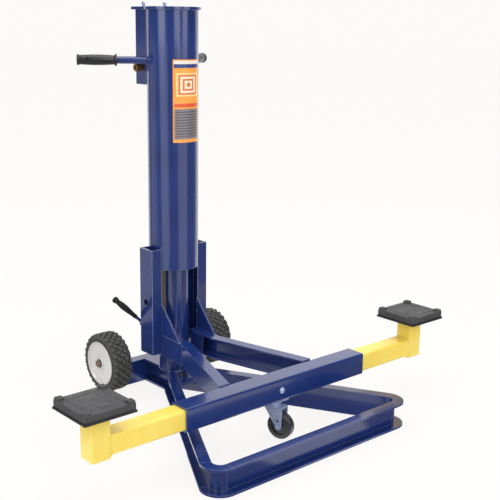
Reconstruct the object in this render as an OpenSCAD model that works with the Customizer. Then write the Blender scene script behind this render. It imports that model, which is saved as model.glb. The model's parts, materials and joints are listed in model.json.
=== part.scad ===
// Air-operated bumper lift: a fixed ram on a wheeled channel base, with a sliding
// mast tube that carries a cross beam, two telescoping arms, rubber pads and a caster.
// Millimetres. X runs along the cross beam, the pads are towards -Y, Z is up.

/* [Base frame] */
// Height of the base channel
base_h = 86; // [60:1:120]
// Width of the base channel's flanges
base_flange = 36; // [24:1:44]
// Wall thickness of the base channel
base_t = 7; // [4:1:9]
// Distance from the mast axis to the front edge of the base
base_front = 769.5; // [640:0.5:950]
// Half the width of the base over its front corners, to the channel's outer edge
base_half_w = 426; // [350:1:520]
// Distance from the mast axis to the point where the two legs meet
leg_apex_y = 7; // [0:1:20]
// Inside bend radius of the front corners
corner_r = 26; // [15:1:60]
// Depth of the rear cross tube, front to back
rear_d = 42; // [30:1:60]
// Half the length of the rear cross tube
rear_half = 180; // [165:1:195]
// Distance from the mast axis to the front of the rear cross tube
rear_y = 138; // [125:1:150]
// Wall thickness of the rear cross tube
rear_t = 5; // [3:0.5:8]
// Thickness of the plate under the ram
foot_t = 8; // [5:1:14]
// Distance from the mast axis to the front edge of that plate
foot_front = 157; // [120:1:220]

/* [Wheels] */
// Outside diameter of the rear tyres
tyre_d = 212; // [170:0.2:240]
// Width of the rear wheels
tyre_w = 76; // [50:0.2:84]
// Diameter of the wheel's steel disc
rim_d = 157; // [110:1:162]
// Diameter of the stub axles
axle_d = 19; // [12:0.5:22]
// Distance from the mast axis back to the axle
axle_y = 88; // [78:0.5:105]
// Gap between the floor and the rear tyres
wheel_lift = 29; // [15:0.5:40]
// Gap between the rear cross tube and the wheels
wheel_gap = 11; // [8:0.5:20]
// Thickness of the plates that hold the axle
ear_t = 10; // [6:1:14]

/* [Ram and rack] */
// Outside diameter of the ram
ram_d = 108; // [80:1:116]
// Wall thickness of the ram
ram_t = 6; // [4:0.5:12]
// Width of the locking rack, front to back
rack_w = 50.8; // [24:0.2:60]
// Thickness of the locking rack
rack_t = 19; // [8:0.5:20]
// Height of the locking rack's lower end
rack_z = 190; // [120:1:230]
// Spacing of the locking notches
notch_pitch = 76; // [40:1:120]
// Height of the piston
piston_h = 50; // [30:1:70]
// Radial running gap of the guide ring and the piston
run_gap = 0.06; // [0.03:0.01:0.1]

/* [Mast] */
// Outside diameter of the mast tube
mast_d = 177.8; // [160:0.2:220]
// Wall thickness of the mast tube
mast_t = 6.35; // [4:0.05:8]
// Height of the mast tube's lower edge
mast_z = 475; // [420:1:520]
// Height of the mast tube's upper edge
mast_top = 1365.5; // [1150:0.5:1650]
// Thickness of the cap
cap_t = 9.5; // [6:0.5:14]
// How far the cap stands out around the tube
cap_lip = 9; // [3:1:16]
// Height of the guide ring
guide_h = 50; // [30:1:80]
// Half the width of the rear box
box_half = 70; // [60:1:76]
// Distance from the mast axis to the rear of the box
box_back = 117.5; // [110:0.5:150]
// Length of the rear box below the cap
box_len = 251.5; // [230:0.5:400]
// Height of the handle bars below the mast's upper edge
handle_drop = 168.5; // [150:0.5:300]
// Diameter of the handle bars
handle_d = 25.4; // [16:0.2:32]
// Sweep of the handle bars towards the rear
handle_sweep = 33; // [20:1:45]
// Distance from the mast axis to each handle's end
handle_reach = 321; // [280:1:380]
// Length of the handle grips
grip_len = 132; // [90:1:150]
// Diameter of the handle grips
grip_d = 36.5; // [34:0.5:44]

/* [Side channels and forks] */
// Distance from the mast axis to the outside of the side channels
chan_x = 121; // [116:1:140]
// Width of the side channels, front to back
chan_w = 74; // [66:1:90]
// Wall thickness of the side channels, arms and gussets
plate_t = 6; // [4:0.5:8]
// Height of the side channels' lower edge
chan_z = 165; // [150:1:190]
// Height of the side channels' upper edge
chan_top = 549.5; // [530:0.5:620]
// Height of the fork channels
fork_h = 76.2; // [60:0.2:90]
// Width of the fork channels' flanges
fork_flange = 38; // [24:1:40]
// Distance from the mast axis to the outside of the forks at the mast
fork_x = 82; // [79:1:100]
// Distance from the mast axis to the bend in the forks
bend_y = 156; // [150:1:220]
// Distance from the middle to the outside of the forks at the beam
fork_end_x = 201; // [160:1:240]
// Slope of the forks down to the beam, in degrees
fork_slope = 2.5; // [0:0.1:3.5]

/* [Beam and arms] */
// Width and height of the square cross beam
beam_w = 76.2; // [60:0.2:84]
// Wall thickness of the beam and of the arm tubes
tube_t = 4.8; // [3:0.1:6]
// Half the length of the cross beam
beam_half = 387; // [330:1:480]
// Height of the beam's upper face
beam_top = 210; // [200:1:240]
// Distance from the mast axis to the middle of the beam
beam_y = 542; // [480:1:600]
// Sliding gap between the beam and the arm tubes
slide_gap = 1.5; // [0.8:0.1:2.5]
// Distance from the middle to each pad
pad_x = 679; // [600:1:820]
// Length of arm tube held in the beam
arm_hold = 130; // [90:1:135]
// Height of the arms' posts
post_h = 143; // [120:1:200]
// Width of the pads
pad_w = 170; // [130:1:210]
// Thickness of the rubber pads without their corner blocks
pad_h = 22; // [14:1:30]
// Thickness of the steel plates under the pads
seat_t = 6; // [4:0.5:10]
// Height of the corner blocks on the pads
nub_h = 7; // [4:0.5:12]

/* [Caster] */
// Diameter of the caster wheel
caster_d = 88.9; // [70:0.1:92]
// Width of the caster wheel
caster_w = 30; // [22:1:34]
// Distance between the swivel axis and the caster's axle
caster_trail = 28; // [18:1:34]
// Direction that the caster wheel trails in, from the front
caster_turn = 18; // [0:1:45]
// Gap between the floor and the caster wheel
caster_lift = 1; // [0.5:0.5:4]

/* [Lock lever] */
// Distance from the mast axis to the lever's pivot
pivot_x = 100; // [98:0.5:104]
// Height of the lever's pivot
pivot_z = 262; // [250:1:300]
// Length of the lever from its pivot
lever_len = 162; // [130:1:200]
// Angle of the lever above the horizontal
lever_angle = 42.7; // [30:0.1:50]
// Gap between the pawl's tip and the rack's face
pawl_gap = 1.5; // [1:0.1:3]

/* [Hidden] */
$fn = 96;
navy = [0.10, 0.16, 0.38];
yellow = [0.97, 0.82, 0.24];
dark = [0.17, 0.18, 0.18];
steel = [0.55, 0.54, 0.52];
zinc = [0.48, 0.54, 0.66];
white = [0.92, 0.92, 0.91];
brass = [0.72, 0.56, 0.28];
orange = [0.95, 0.60, 0.25];
over = 1;
sides = [-1, 1];
hole_slack = 0.05;
weld_gap = 0.05;

// Wheels
wheel_back = axle_y + tyre_d / 2;
wheel_z = tyre_d / 2 + wheel_lift;
wheel_in = rear_half + wheel_gap;
wheel_out = wheel_in + tyre_w;
axle_r = axle_d / 2;
ear_r = axle_r + 11;
ear_lean = atan2(wheel_z - base_h, rear_y + rear_d / 2 - axle_y);
ear_dy = ear_r * sin(ear_lean);
ear_dz = ear_r * cos(ear_lean);
shoulder_r = 11;
rim_t = 9;
disc_t = 4;
disc_inset = 9;
boss_r = axle_r + 12;
bearing_r = axle_r + 6;
bearing_l = 14;
nut_af = axle_d + 5;
nut_t = 8;
pin_out = 3;

// The origin is under the middle of the whole lift's outline.
mast_y = (base_front - wheel_back) / 2;

// Base
web_front = base_front - base_flange;
corner_out = corner_r + base_flange;
corner_x = base_half_w - corner_out;
corner_y = web_front - corner_r;
corner_far = norm([corner_x, corner_y + leg_apex_y]);
leg_angle = atan2(corner_x, corner_y + leg_apex_y) + asin(corner_r / corner_far);
leg_len = sqrt(corner_far * corner_far - corner_r * corner_r);
foot_half = (foot_front + leg_apex_y) * tan(leg_angle);
foot_bolt_x = 35;
foot_bolt_y = 95;
foot_bolt_af = 19;
foot_bolt_h = 12;

// Ram, rack and mast
ram_r = ram_d / 2;
mast_r = mast_d / 2;
bore_r = mast_r - mast_t;
cap_z = mast_top + cap_t;
piston_top = mast_top - 25;
piston_z = piston_top - piston_h;
seal_h = 6;
seal_d = 5;
rack_x = ram_r + rack_t;
rack_half = rack_w / 2;
notch_h = 14;
notch_d = 6;
notch_front = 10;
notch_first = pivot_z;
notch_count = floor((piston_z - notch_first - guide_h) / notch_pitch) - 1;
slot_gap = 0.5;
guide_z = mast_z + 5;
bar_z = mast_top - handle_drop;
handle_r = handle_d / 2;
grip_start = handle_reach - grip_len;
grip_end = 3;
collar_l = 6;
collar_r = grip_d / 2 + 2.5;
box_z = mast_top - box_len;
box_rear = box_back + 11.5;
box_lip = box_half + 10;
fitting_y = 80;
fitting_z = bar_z - 25;
fitting_af = 24;
fitting_len = 30;
nipple_af = 21;
nipple_l = 7;
neck_r = 7;
neck_l = 10;
inlet_r = 5.7;
inlet_l = 14;
pipe_r = 5;
pipe_x = box_half - 18;
pipe_z = mast_top - 12;
label_angle = 73.2;
label_z = 925;
label_h = 278;
label_gap = 0.1;
label_t = 0.5;
eye_x = 45;
eye_y = 105;
eye_r = 6;
eye_wire = 3;

// Side channels and forks
chan_half = chan_w / 2;
chan_in = sqrt(mast_r * mast_r - chan_half * chan_half);
web_hole_d = 28;
web_hole_z = 354;
web_hole_y = 4.6;
fork_back = beam_y - beam_w / 2;
fork_drop = tan(fork_slope);
fork_rise = 4;
fork_top_bend = beam_top + fork_rise + (fork_back - bend_y) * fork_drop;
fork_top_mast = fork_top_bend + (bend_y - chan_half) * fork_drop;
fork_splay = atan2(fork_end_x - fork_x, fork_back - bend_y);
fork_trim = 20;
fork_trim_x = fork_trim * sin(fork_splay);
fork_trim_y = fork_trim * cos(fork_splay);
ram_clear = 3;
ram_side = sqrt(max(0, pow(ram_r + ram_clear, 2) - chan_half * chan_half));
fork_in = max(fork_x - fork_flange, ram_side);
fork_w = fork_x - fork_in;
gusset_top = chan_z + 182;
gusset_front = bend_y - 15;
stiff_start = 8;
stiff_len = 67;

// Beam and arms
beam_z = beam_top - beam_w / 2;
beam_half_w = beam_w / 2;
beam_corner = 8;
inner_w = beam_w - 2 * tube_t - 2 * slide_gap;
arm_in = beam_half - arm_hold;
post_z = beam_z - inner_w / 2 - 8;
post_top = post_z + post_h;
seat_z = post_top + seat_t;
rubber_w = pad_w - 5;
nub_w = 24;
pad_bolt_r = 4;
pad_bolt_x = 52;
pad_bolt_head = 4;
pad_bolt_wide = 16;
pad_bolt_in = 12;
beam_bolt_r = 6;
beam_bolt_head_r = 11;
beam_bolt_head = 7;

// Caster
caster_r = caster_d / 2;
caster_z = caster_r + caster_lift;
plate_z = beam_top - beam_w;
plate_half_x = 36;
plate_half_y = 32;
plate_h = 5;
race_r = 25;
race_h = 6;
race_space = 0.5;
crown_top = plate_z - 22;
crown_t = 5;
crown_back = 27;
crown_front = 42;
cheek_drop = 14;
cheek_r = 11;
window_y = [-2, 6];
window_z = [16, 24];
leg_t = 3;
leg_gap = 2;
leg_in = caster_w / 2 + leg_gap;
leg_out = leg_in + leg_t;
king_r = 6;
king_head_r = 9;
king_head = 4;
king_gap = 0.5;
king_hole_h = 8;
caster_axle_r = 4;
caster_head_r = 7.5;
caster_head = 5;
caster_nut_af = 13;
caster_nut = 6;
caster_end = 7;
caster_hub_r = 11;
tread_r = 6;
tread_w = 15;
recess = 5;

// Lock lever
pawl_r = pivot_x - rack_x - pawl_gap;
pin_r = 7;
eye_hub_r = 12;
pin_start = -10;
pin_tip = 9;
pawl_y0 = -8;
pawl_y1 = chan_half - plate_t - 6;
pawl_half_h = 6;
lever_y = chan_half + 14;
lever_r = 6;
lever_eye = 7;
lever_grip_r = 12;
lever_grip_end = 4;
lever_grip_at = 45;

// Draws a left piece about the mast axis, or its mirror image on the right
module on_side(side) {
    translate([0, mast_y, 0])
        mirror([side > 0 ? 1 : 0, 0, 0])
            children();
}

// Draws a piece about the mast axis
module at_mast() {
    on_side(-1)
        children();
}

// Draws a left piece and its mirror image
module both_sides() {
    for (side = sides)
        on_side(side)
            children();
}

// A cylinder along X from x0 to x1
module rod_x(r, x0, x1) {
    translate([x0, 0, 0])
        rotate([0, 90, 0])
            cylinder(r = r, h = x1 - x0);
}

// A cylinder along Y from y0 to y1
module rod_y(r, y0, y1) {
    translate([0, y1, 0])
        rotate([90, 0, 0])
            cylinder(r = r, h = y1 - y0);
}

// A six-sided bar along X, given by its width across the flats
module hex_x(across, x0, x1) {
    translate([x0, 0, 0])
        rotate([0, 90, 0])
            cylinder(d = across / cos(30), h = x1 - x0, $fn = 6);
}

// A round tube, or a washer, standing on z = 0
module ring(r_out, r_in, h) {
    difference() {
        cylinder(r = r_out, h = h);
        translate([0, 0, -over])
            cylinder(r = r_in, h = h + 2 * over);
    }
}

// A box given by two opposite corners
module span(a, b) {
    translate(a)
        cube(b - a);
}

// A filled square with rounded corners
module round_square(w, r) {
    square([w, w - 2 * r], center = true);
    square([w - 2 * r, w], center = true);
    for (x = sides, y = sides)
        translate([x * (w / 2 - r), y * (w / 2 - r)])
            circle(r = r);
}

// The wall of a square tube with rounded corners
module tube_section(w, t, r) {
    difference() {
        round_square(w, r);
        round_square(w - 2 * t, r - t);
    }
}

// A channel's section: web at the left, flanges towards +X
module channel_section(w, h, t) {
    difference() {
        square([w, h]);
        translate([t, t])
            square([w, h - 2 * t]);
    }
}

// The unit vector to the left of the way from a to b
function left_of(a, b) = [a.y - b.y, b.x - a.x] / norm(b - a);

// A path of three points moved to its left by d, with a mitred bend
function beside(p, d) =
    let (n1 = left_of(p[0], p[1]), n2 = left_of(p[1], p[2]))
    [p[0] + d * n1, p[1] + d * (n1 + n2) / (1 + n1 * n2), p[2] + d * n2];

// The same list from its end to its start
function reversed(p) = [for (i = [len(p) - 1 : -1 : 0]) p[i]];

// The same path with both of its ends moved out by d
function longer(p, d) =
    [p[0] + d * (p[0] - p[1]) / norm(p[0] - p[1]), p[1], p[2] + d * (p[2] - p[1]) / norm(p[2] - p[1])];

// A flat strip along a bent path, from d0 to d1 on its left
module strip(p, d0, d1) {
    polygon(concat(beside(p, d0), reversed(beside(p, d1))));
}

// A channel along a bent path: web on the path, flanges to its left
module bent_channel(p, w, h, t) {
    difference() {
        linear_extrude(h)
            strip(p, 0, w);
        translate([0, 0, t])
            linear_extrude(h - 2 * t)
                strip(longer(p, over), t, w + over);
    }
}

// The straight front channel, which opens forwards
module front_bar() {
    color(navy)
        at_mast()
            translate([-corner_x, -web_front, 0])
                rotate([90, 0, 90])
                    linear_extrude(2 * corner_x)
                        mirror([1, 0])
                            channel_section(base_flange, base_h, base_t);
}

// A front corner: the same channel bent round the outside of the frame
module corner_shape() {
    translate([-corner_x, -corner_y, 0])
        rotate([0, 0, 180 - leg_angle])
            rotate_extrude(angle = 90 + leg_angle)
                translate([corner_r, 0])
                    channel_section(base_flange, base_h, base_t);
}

module corner_left() {
    color(navy)
        on_side(-1)
            corner_shape();
}

module corner_right() {
    color(navy)
        on_side(1)
            corner_shape();
}

// A leg of base channel, and the neck that runs straight back to the rear tube
module leg_shape() {
    bent_channel([[-leg_len * sin(leg_angle), leg_apex_y - leg_len * cos(leg_angle)],
        [0, leg_apex_y], [0, rear_y]], base_flange, base_h, base_t);
}

module leg_left() {
    color(navy)
        on_side(-1)
            leg_shape();
}

module leg_right() {
    color(navy)
        on_side(1)
            leg_shape();
}

// A rectangular tube between the two end plates
module rear_tube() {
    half = rear_half - ear_t;
    color(navy)
        at_mast()
            difference() {
                span([-half, rear_y, 0], [half, rear_y + rear_d, base_h]);
                span([-half - over, rear_y + rear_t, rear_t],
                    [half + over, rear_y + rear_d - rear_t, base_h - rear_t]);
            }
}

// The plate that closes the fork of the two legs, level with their tops
module foot_plate() {
    color(navy)
        at_mast()
            translate([0, 0, base_h - foot_t])
                linear_extrude(foot_t)
                    polygon([[0, leg_apex_y], [-foot_half, -foot_front], [foot_half, -foot_front]]);
}

// End plates of the rear tube, with an eye for the axle
module axle_ears() {
    color(navy)
        both_sides()
            difference() {
                union() {
                    translate([-rear_half, 0, 0])
                        rotate([90, 0, 90])
                            linear_extrude(ear_t)
                                polygon([[rear_y, 0], [rear_y + rear_d, 0], [rear_y + rear_d, base_h],
                                    [axle_y + ear_dy, wheel_z + ear_dz],
                                    [axle_y - ear_dy, wheel_z - ear_dz], [rear_y, base_h - ear_r]]);
                    translate([0, axle_y, wheel_z])
                        rod_x(ear_r, -rear_half, -rear_half + ear_t);
                }
                translate([0, axle_y, wheel_z])
                    rod_x(axle_r + hole_slack, -rear_half - over, -rear_half + ear_t + over);
            }
}

// A stub axle welded into each end plate
module axle_pins() {
    color(steel)
        both_sides()
            translate([0, axle_y, wheel_z])
                rod_x(axle_r, -wheel_out - nut_t, -rear_half + ear_t + pin_out);
}

// A hexagon nut on the end of each stub axle
module axle_nuts() {
    color(steel)
        both_sides()
            translate([0, axle_y, wheel_z])
                difference() {
                    hex_x(nut_af, -wheel_out - nut_t, -wheel_out - over);
                    rod_x(axle_r + hole_slack, -wheel_out - nut_t - over, -wheel_out);
                }
}

module ram_tube() {
    color(navy)
        at_mast()
            translate([0, 0, base_h])
                ring(ram_r, ram_r - ram_t, piston_z - base_h);
}

// Two hexagon-headed bolts in the plate under the ram
module foot_bolts() {
    color(steel)
        at_mast()
            for (x = sides)
                translate([x * foot_bolt_x, -foot_bolt_y, base_h])
                    cylinder(d = foot_bolt_af / cos(30), h = foot_bolt_h, $fn = 6);
}

// A flat bar beside the ram, with notches in its outer edge for the pawl
module rack_bar() {
    color(steel)
        at_mast()
            difference() {
                span([-rack_x, -rack_half, rack_z], [-ram_r + over, rack_half, piston_z]);
                translate([0, 0, rack_z - over])
                    cylinder(r = ram_r + weld_gap, h = piston_z);
                for (i = [0 : notch_count])
                    translate([-rack_x - over, -notch_front, notch_first + i * notch_pitch])
                        cube([notch_d + over, rack_half + notch_front + over, notch_h]);
            }
}

// The piston on top of the ram, with two seal grooves
module piston() {
    color(steel)
        at_mast()
            translate([0, 0, piston_z])
                difference() {
                    cylinder(r = bore_r - run_gap, h = piston_h);
                    for (i = [1, 2])
                        translate([0, 0, i * piston_h / 3 - seal_h / 2])
                            ring(bore_r + over, bore_r - seal_d, seal_h);
                }
}

module piston_seals() {
    color(dark)
        at_mast()
            for (i = [1, 2])
                translate([0, 0, piston_z + i * piston_h / 3 - seal_h / 2])
                    ring(bore_r - run_gap, bore_r - seal_d + weld_gap, seal_h);
}

// Draws a wheel's section, turned about the axle, from the wheel's outer face inwards
module wheel_turn() {
    translate([-wheel_out, axle_y, wheel_z])
        rotate([0, 90, 0])
            rotate_extrude()
                children();
}

// A tyre with rounded shoulders
module tyre_shape() {
    tyre_r = tyre_d / 2;
    rim_r = rim_d / 2;
    wheel_turn() {
        translate([rim_r, 0])
            square([tyre_r - shoulder_r - rim_r, tyre_w]);
        translate([rim_r, shoulder_r])
            square([tyre_r - rim_r, tyre_w - 2 * shoulder_r]);
        for (y = [shoulder_r, tyre_w - shoulder_r])
            translate([tyre_r - shoulder_r, y])
                circle(r = shoulder_r);
    }
}

module tyre_left() {
    color(dark)
        on_side(-1)
            tyre_shape();
}

module tyre_right() {
    color(dark)
        on_side(1)
            tyre_shape();
}

// A steel rim with a disc near its outer face and a boss for the bearings
module hub_shape() {
    rim_r = rim_d / 2 - weld_gap;
    difference() {
        wheel_turn() {
            translate([rim_r - rim_t, 0])
                square([rim_t, tyre_w]);
            translate([0, disc_inset])
                square([rim_r, disc_t]);
            square([boss_r, tyre_w]);
        }
        translate([0, axle_y, wheel_z]) {
            rod_x(axle_r + 1, -wheel_out - over, -wheel_in + over);
            rod_x(bearing_r + weld_gap, -wheel_out - over, -wheel_out + bearing_l);
            rod_x(bearing_r + weld_gap, -wheel_in - bearing_l, -wheel_in + over);
        }
    }
}

module hub_left() {
    color(white)
        on_side(-1)
            hub_shape();
}

module hub_right() {
    color(white)
        on_side(1)
            hub_shape();
}

// The two bearings in a wheel's boss
module bearing_shape() {
    translate([0, axle_y, wheel_z])
        difference() {
            union() {
                rod_x(bearing_r, -wheel_out, -wheel_out + bearing_l);
                rod_x(bearing_r, -wheel_in - bearing_l, -wheel_in);
            }
            rod_x(axle_r + hole_slack, -wheel_out - over, -wheel_in + over);
        }
}

module bearings_left() {
    color(steel)
        on_side(-1)
            bearing_shape();
}

module bearings_right() {
    color(steel)
        on_side(1)
            bearing_shape();
}

module mast_tube() {
    color(navy)
        at_mast()
            difference() {
                translate([0, 0, mast_z])
                    ring(mast_r, bore_r, mast_top - mast_z);
                pipe_elbow(pipe_r + hole_slack, bore_r - over);
            }
}

// The cap: a disc over the tube and a flat tail over the rear box
module cap_plate() {
    color(navy)
        at_mast()
            translate([0, 0, mast_top])
                difference() {
                    union() {
                        cylinder(r = mast_r + cap_lip, h = cap_t);
                        span([-box_lip, 0, 0], [box_lip, box_rear, cap_t]);
                    }
                    for (x = sides)
                        translate([x * eye_x, eye_y, -over])
                            cylinder(r = eye_wire + hole_slack, h = cap_t + 2 * over);
                }
}

// Two small eye bolts in the cap
module eye_bolts() {
    color(steel)
        at_mast()
            for (x = sides)
                translate([x * eye_x, eye_y, 0]) {
                    translate([0, 0, mast_top])
                        cylinder(r = eye_wire, h = cap_t + eye_wire);
                    translate([0, 0, cap_z + eye_r + eye_wire])
                        rotate([0, 90, 0])
                            rotate_extrude()
                                translate([eye_r, 0])
                                    circle(r = eye_wire);
                }
}

// The ring at the mast's lower end that slides on the ram; its slot keys it to the rack
module guide_ring() {
    color(steel)
        at_mast()
            difference() {
                translate([0, 0, guide_z])
                    ring(bore_r - weld_gap, ram_r + run_gap, guide_h);
                span([-rack_x - slot_gap, -rack_half - slot_gap, guide_z - over],
                    [-ram_r + over, rack_half + slot_gap, guide_z + guide_h + over]);
            }
}

// A channel welded to the rear of the mast that guards the air pipe
module rear_box() {
    wall = plate_t;
    color(navy)
        at_mast()
            difference() {
                span([-box_half, 0, box_z], [box_half, box_back, mast_top]);
                span([-box_half + wall, -over, box_z - over],
                    [box_half - wall, box_back - wall, mast_top + over]);
                translate([0, 0, box_z - over])
                    cylinder(r = mast_r + weld_gap, h = box_len + 2 * over);
                translate([0, fitting_y, fitting_z])
                    rod_x(pipe_r + hole_slack, -box_half - over, -box_half + wall + over);
            }
}

// The pipe's upper end, which runs towards the mast axis and stops end_r away from it
module pipe_elbow(r, end_r) {
    translate([-pipe_x, fitting_y, pipe_z])
        rotate([0, 0, atan2(-fitting_y, pipe_x)])
            rod_x(r, 0, norm([pipe_x, fitting_y]) - end_r);
}

// The air pipe from the fitting to the space above the piston
module air_pipe() {
    color(brass)
        at_mast() {
            translate([-pipe_x, fitting_y, fitting_z])
                cylinder(r = pipe_r, h = pipe_z - fitting_z);
            translate([0, fitting_y, fitting_z])
                rod_x(pipe_r, -box_half, -pipe_x);
            translate([-pipe_x, fitting_y, pipe_z])
                sphere(r = pipe_r);
            translate([-pipe_x, fitting_y, fitting_z])
                sphere(r = pipe_r);
            pipe_elbow(pipe_r, bore_r - weld_gap);
        }
}

// A brass adapter on the rear box, with a threaded inlet for the air hose
module air_fitting() {
    face = -box_half - weld_gap;
    color(brass)
        at_mast()
            translate([0, fitting_y, fitting_z])
                difference() {
                    union() {
                        hex_x(nipple_af, face - nipple_l, face);
                        rod_x(neck_r, face - neck_l, face);
                        hex_x(fitting_af, face - fitting_len, face - neck_l);
                    }
                    rod_x(inlet_r, face - fitting_len - over, face - fitting_len + inlet_l);
                }
}

// A bar that stands out from the mast, swept towards the rear
module handle_shape() {
    difference() {
        translate([0, 0, bar_z])
            rotate([0, 0, -handle_sweep])
                rod_x(handle_r, -handle_reach, -mast_r + handle_r);
        translate([0, 0, bar_z - handle_d])
            cylinder(r = mast_r + weld_gap, h = 2 * handle_d);
        span([-box_half - weld_gap, 0, bar_z - handle_d], [0, box_back, bar_z + handle_d]);
    }
}

module handle_left() {
    color(navy)
        on_side(-1)
            handle_shape();
}

module handle_right() {
    color(navy)
        on_side(1)
            handle_shape();
}

// A rubber grip with a closed end and a collar
module grip_shape() {
    translate([0, 0, bar_z])
        rotate([0, 0, -handle_sweep])
            difference() {
                union() {
                    rod_x(grip_d / 2, -handle_reach - grip_end, -grip_start);
                    rod_x(collar_r, -grip_start - collar_l, -grip_start);
                }
                rod_x(handle_r + hole_slack, -handle_reach - hole_slack, -grip_start + over);
            }
}

module grip_left() {
    color(dark)
        on_side(-1)
            grip_shape();
}

module grip_right() {
    color(dark)
        on_side(1)
            grip_shape();
}

// A thin sheet label on the front of the mast
module label_plate() {
    color(orange)
        at_mast()
            rotate([0, 0, -90 - label_angle / 2])
                rotate_extrude(angle = label_angle)
                    translate([mast_r + label_gap, label_z])
                        square([label_t, label_h]);
}

// A side channel: its flanges end on the mast tube
module channel_shape() {
    difference() {
        span([-chan_x, -chan_half, chan_z], [-chan_in, chan_half, chan_top]);
        span([-chan_x + plate_t, -chan_half + plate_t, chan_z - over],
            [0, chan_half - plate_t, chan_top + over]);
        translate([0, 0, chan_z - over])
            cylinder(r = mast_r + weld_gap, h = chan_top);
    }
}

module channel_left() {
    boss_y = chan_half - plate_t;
    color(navy)
        at_mast()
            difference() {
                union() {
                    channel_shape();
                    translate([-pivot_x, 0, pivot_z])
                        rod_y(eye_hub_r, pawl_y1 + king_gap, boss_y);
                }
                translate([0, web_hole_y, web_hole_z])
                    rod_x(web_hole_d / 2, -chan_x - over, -chan_x + plate_t + over);
                translate([-pivot_x, 0, pivot_z])
                    rod_y(pin_r + hole_slack, pawl_y1, chan_half + over);
            }
}

module channel_right() {
    color(navy)
        on_side(1)
            channel_shape();
}

// Triangular plates between the side channels and the forks
module gussets() {
    color(navy)
        both_sides()
            translate([-fork_x, 0, 0])
                rotate([90, 0, 90])
                    linear_extrude(plate_t)
                        polygon([[-chan_half, fork_top_mast], [-chan_half, gusset_top],
                            [-gusset_front, fork_top_mast - (gusset_front - chan_half) * fork_drop]]);
}

// A fork: a straight channel beside the ram, then a bend outwards to the beam
module fork_shape() {
    difference() {
        translate([0, -bend_y, fork_top_bend])
            rotate([fork_slope, 0, 0])
                translate([0, bend_y, -fork_h])
                    bent_channel([[-fork_x, -chan_half + fork_trim], [-fork_x, -bend_y],
                        [-fork_end_x - fork_trim_x, -fork_back - fork_trim_y]],
                        fork_w, fork_h, plate_t);
        span([-chan_x, -chan_half, 0], [0, 0, 2 * chan_z]);
        span([-beam_half, -beam_y - beam_w, 0], [0, -fork_back, 2 * chan_z]);
    }
}

module fork_left() {
    color(navy)
        on_side(-1)
            fork_shape();
}

module fork_right() {
    color(navy)
        on_side(1)
            fork_shape();
}

// Plates that close the open side of the forks beside the ram
module stiffeners() {
    color(navy)
        both_sides()
            translate([-fork_x, -bend_y, fork_top_bend])
                rotate([fork_slope, 0, 0])
                    span([fork_w - plate_t, bend_y - chan_half - stiff_start - stiff_len, -fork_h + plate_t],
                        [fork_w, bend_y - chan_half - stiff_start, -plate_t]);
}

// The square tube across the front of the forks
module beam() {
    color(navy)
        at_mast()
            difference() {
                translate([-beam_half, -beam_y, beam_z])
                    rotate([90, 0, 90])
                        linear_extrude(2 * beam_half)
                            tube_section(beam_w, tube_t, beam_corner);
                translate([0, 0, beam_z])
                    rod_y(beam_bolt_r + hole_slack, -beam_y - beam_half_w - over, -beam_y);
            }
}

// A bolt through the front of the beam that stops the arm tubes in the middle
module beam_bolt() {
    face = -beam_y - beam_half_w;
    color(steel)
        at_mast()
            translate([0, 0, beam_z]) {
                rod_y(beam_bolt_head_r, face - beam_bolt_head, face);
                rod_y(beam_bolt_r, face - over, -beam_y);
            }
}

// The fixed part of the caster: a plate under the beam, the upper race and the kingpin
module caster_plate() {
    color(zinc)
        at_mast()
            translate([0, -beam_y, 0]) {
                span([-plate_half_x, -plate_half_y, plate_z - plate_h],
                    [plate_half_x, plate_half_y, plate_z]);
                translate([0, 0, crown_top + race_h])
                    cylinder(r = race_r, h = plate_z - crown_top - race_h);
                translate([0, 0, crown_top - crown_t - king_gap - king_head])
                    cylinder(r = king_head_r, h = king_head);
                translate([0, 0, crown_top - crown_t - king_gap - over])
                    cylinder(r = king_r, h = plate_z - crown_top + crown_t);
            }
}

// Draws the swivelling part of the caster with its wheel towards -Y, then turns it
module at_swivel() {
    at_mast()
        translate([0, -beam_y, 0])
            rotate([0, 0, caster_turn])
                children();
}

// A cheek of the caster fork, with a small square window
module fork_cheek() {
    difference() {
        union() {
            rotate([90, 0, 90])
                linear_extrude(leg_t)
                    polygon([[crown_back, crown_top], [-crown_front, crown_top],
                        [-crown_front, crown_top - cheek_drop], [-caster_trail - cheek_r, caster_z],
                        [-caster_trail + cheek_r, caster_z]]);
            translate([0, -caster_trail, caster_z])
                rod_x(cheek_r, 0, leg_t);
        }
        translate([0, -caster_trail, caster_z])
            rod_x(caster_axle_r + hole_slack, -over, leg_t + over);
        span([-over, -caster_trail + window_y[0], caster_z + window_z[0]],
            [leg_t + over, -caster_trail + window_y[1], caster_z + window_z[1]]);
    }
}

// The swivelling fork with its lower race
module caster_fork() {
    color(zinc)
        at_swivel()
            difference() {
                union() {
                    span([-leg_out, -crown_front, crown_top - crown_t], [leg_out, crown_back, crown_top]);
                    translate([0, 0, crown_top - over])
                        cylinder(r = race_r - 1, h = race_h - race_space + over);
                    translate([-leg_out, 0, 0])
                        fork_cheek();
                    translate([leg_in, 0, 0])
                        fork_cheek();
                }
                translate([0, 0, crown_top - crown_t - over])
                    cylinder(r = king_r + hole_slack, h = crown_t + king_hole_h);
            }
}

// The caster's axle bolt, with a round head and a nut
module caster_axle() {
    color(zinc)
        at_swivel()
            translate([0, -caster_trail, caster_z]) {
                rod_x(caster_axle_r, -leg_out - over, leg_out + caster_end);
                rod_x(caster_head_r, -leg_out - caster_head, -leg_out);
                hex_x(caster_nut_af, leg_out, leg_out + caster_nut);
            }
}

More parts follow.
